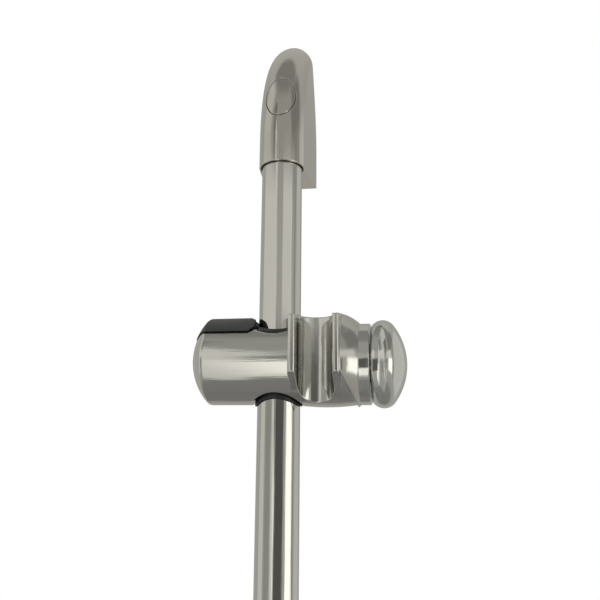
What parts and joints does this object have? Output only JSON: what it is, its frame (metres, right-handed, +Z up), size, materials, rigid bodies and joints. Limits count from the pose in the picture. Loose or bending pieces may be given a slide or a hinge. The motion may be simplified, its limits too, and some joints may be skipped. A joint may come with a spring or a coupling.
{
  "type": "shower slide rail",
  "caption": "Wall rail for a hand shower: round tube between two curved brackets, with a sliding holder that tilts and has an open cradle, a release lever and a clamping knob.",
  "frame": {"origin": "on the wall plane, midway between the two fixing holes", "axes": "+X to the right along the wall, +Y into the wall, +Z up along the tube; the front faces -Y"},
  "size_m": [0.1258, 0.065, 0.7242],
  "materials": {
    "chrome": "bright chrome plating",
    "dark_plastic": "black moulded plastic",
    "grey_plastic": "dark grey moulded plastic",
    "rubber": "black rubber",
    "steel": "plain steel",
    "brass": "plain brass"
  },
  "bodies": {
    "wall_rail": {"rail_tube": "chrome", "upper_bracket": "chrome", "lower_bracket": "chrome", "upper_cover": "chrome", "lower_cover": "chrome", "upper_bush": "dark_plastic", "lower_bush": "dark_plastic", "upper_plug": "dark_plastic", "lower_plug": "dark_plastic"},
    "sleeve": {"glide_sleeve": "grey_plastic"},
    "core": {"slider_core": "dark_plastic", "brake_pad": "rubber", "pad_spring": "steel"},
    "holder": {"holder_shell": "chrome", "neck_ring": "chrome", "thrust_washer": "steel", "friction_disc": "dark_plastic", "lever_pin": "steel", "lever_spring": "steel"},
    "lever": {"release_lever": "grey_plastic"},
    "knob": {"knob": "chrome", "knob_insert": "brass", "clamp_screw": "steel"}
  },
  "joints": [
    {"name": "slider_slide", "type": "slide", "parent": "wall_rail", "child": "sleeve", "axis": [0, 0, 1], "range_m": [-0.35, 0.085]},
    {"name": "slider_swivel", "type": "hinge", "parent": "sleeve", "child": "core", "pos_m": [0, -0.034, 0.132], "axis": [0, 0, 1], "range_deg": [-12, 7]},
    {"name": "holder_tilt", "type": "hinge", "parent": "core", "child": "holder", "pos_m": [0, -0.034, 0.132], "axis": [1, 0, 0], "range_deg": [-12, 5]},
    {"name": "lever_lift", "type": "hinge", "parent": "holder", "child": "lever", "pos_m": [-0.0175, -0.034, 0.1506], "axis": [0, 1, 0], "range_deg": [0, 8]},
    {"name": "knob_turn", "type": "hinge", "parent": "holder", "child": "knob", "pos_m": [0.058, -0.034, 0.1301], "axis": [1, 0, 0], "range_deg": [0, 270]}
  ]
}
